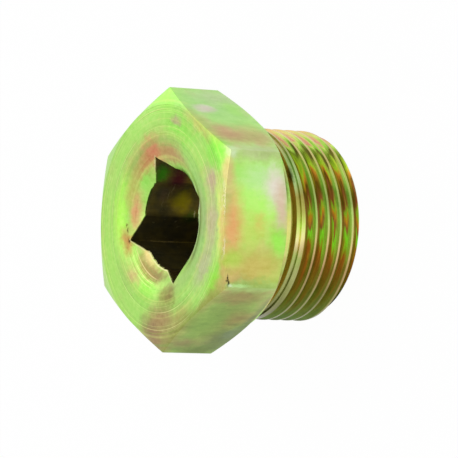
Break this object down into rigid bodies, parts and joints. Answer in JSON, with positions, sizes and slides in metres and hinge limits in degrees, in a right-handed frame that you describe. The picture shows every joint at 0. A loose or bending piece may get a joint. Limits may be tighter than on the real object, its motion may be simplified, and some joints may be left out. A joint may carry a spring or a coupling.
{
  "type": "drain plug",
  "caption": "Screw-in drain plug: chamfered hexagon head with a round washer face, broached square drive socket, undercut and right-hand threaded shank.",
  "frame": {"origin": "centre of the flat end of the threaded shank, which the plug stands on", "axes": "+Z along the plug's axis from the threaded end to the head, +X through a corner of the hexagon, the square socket's sides turned 2.4 degrees past X and Y"},
  "size_m": [0.0272, 0.0236, 0.0182],
  "materials": {
    "plated_steel": "turned and milled steel with a yellow-green iridescent zinc chromate plating"
  },
  "bodies": {
    "root": {"drain_plug": "plated_steel"}
  },
  "joints": []
}
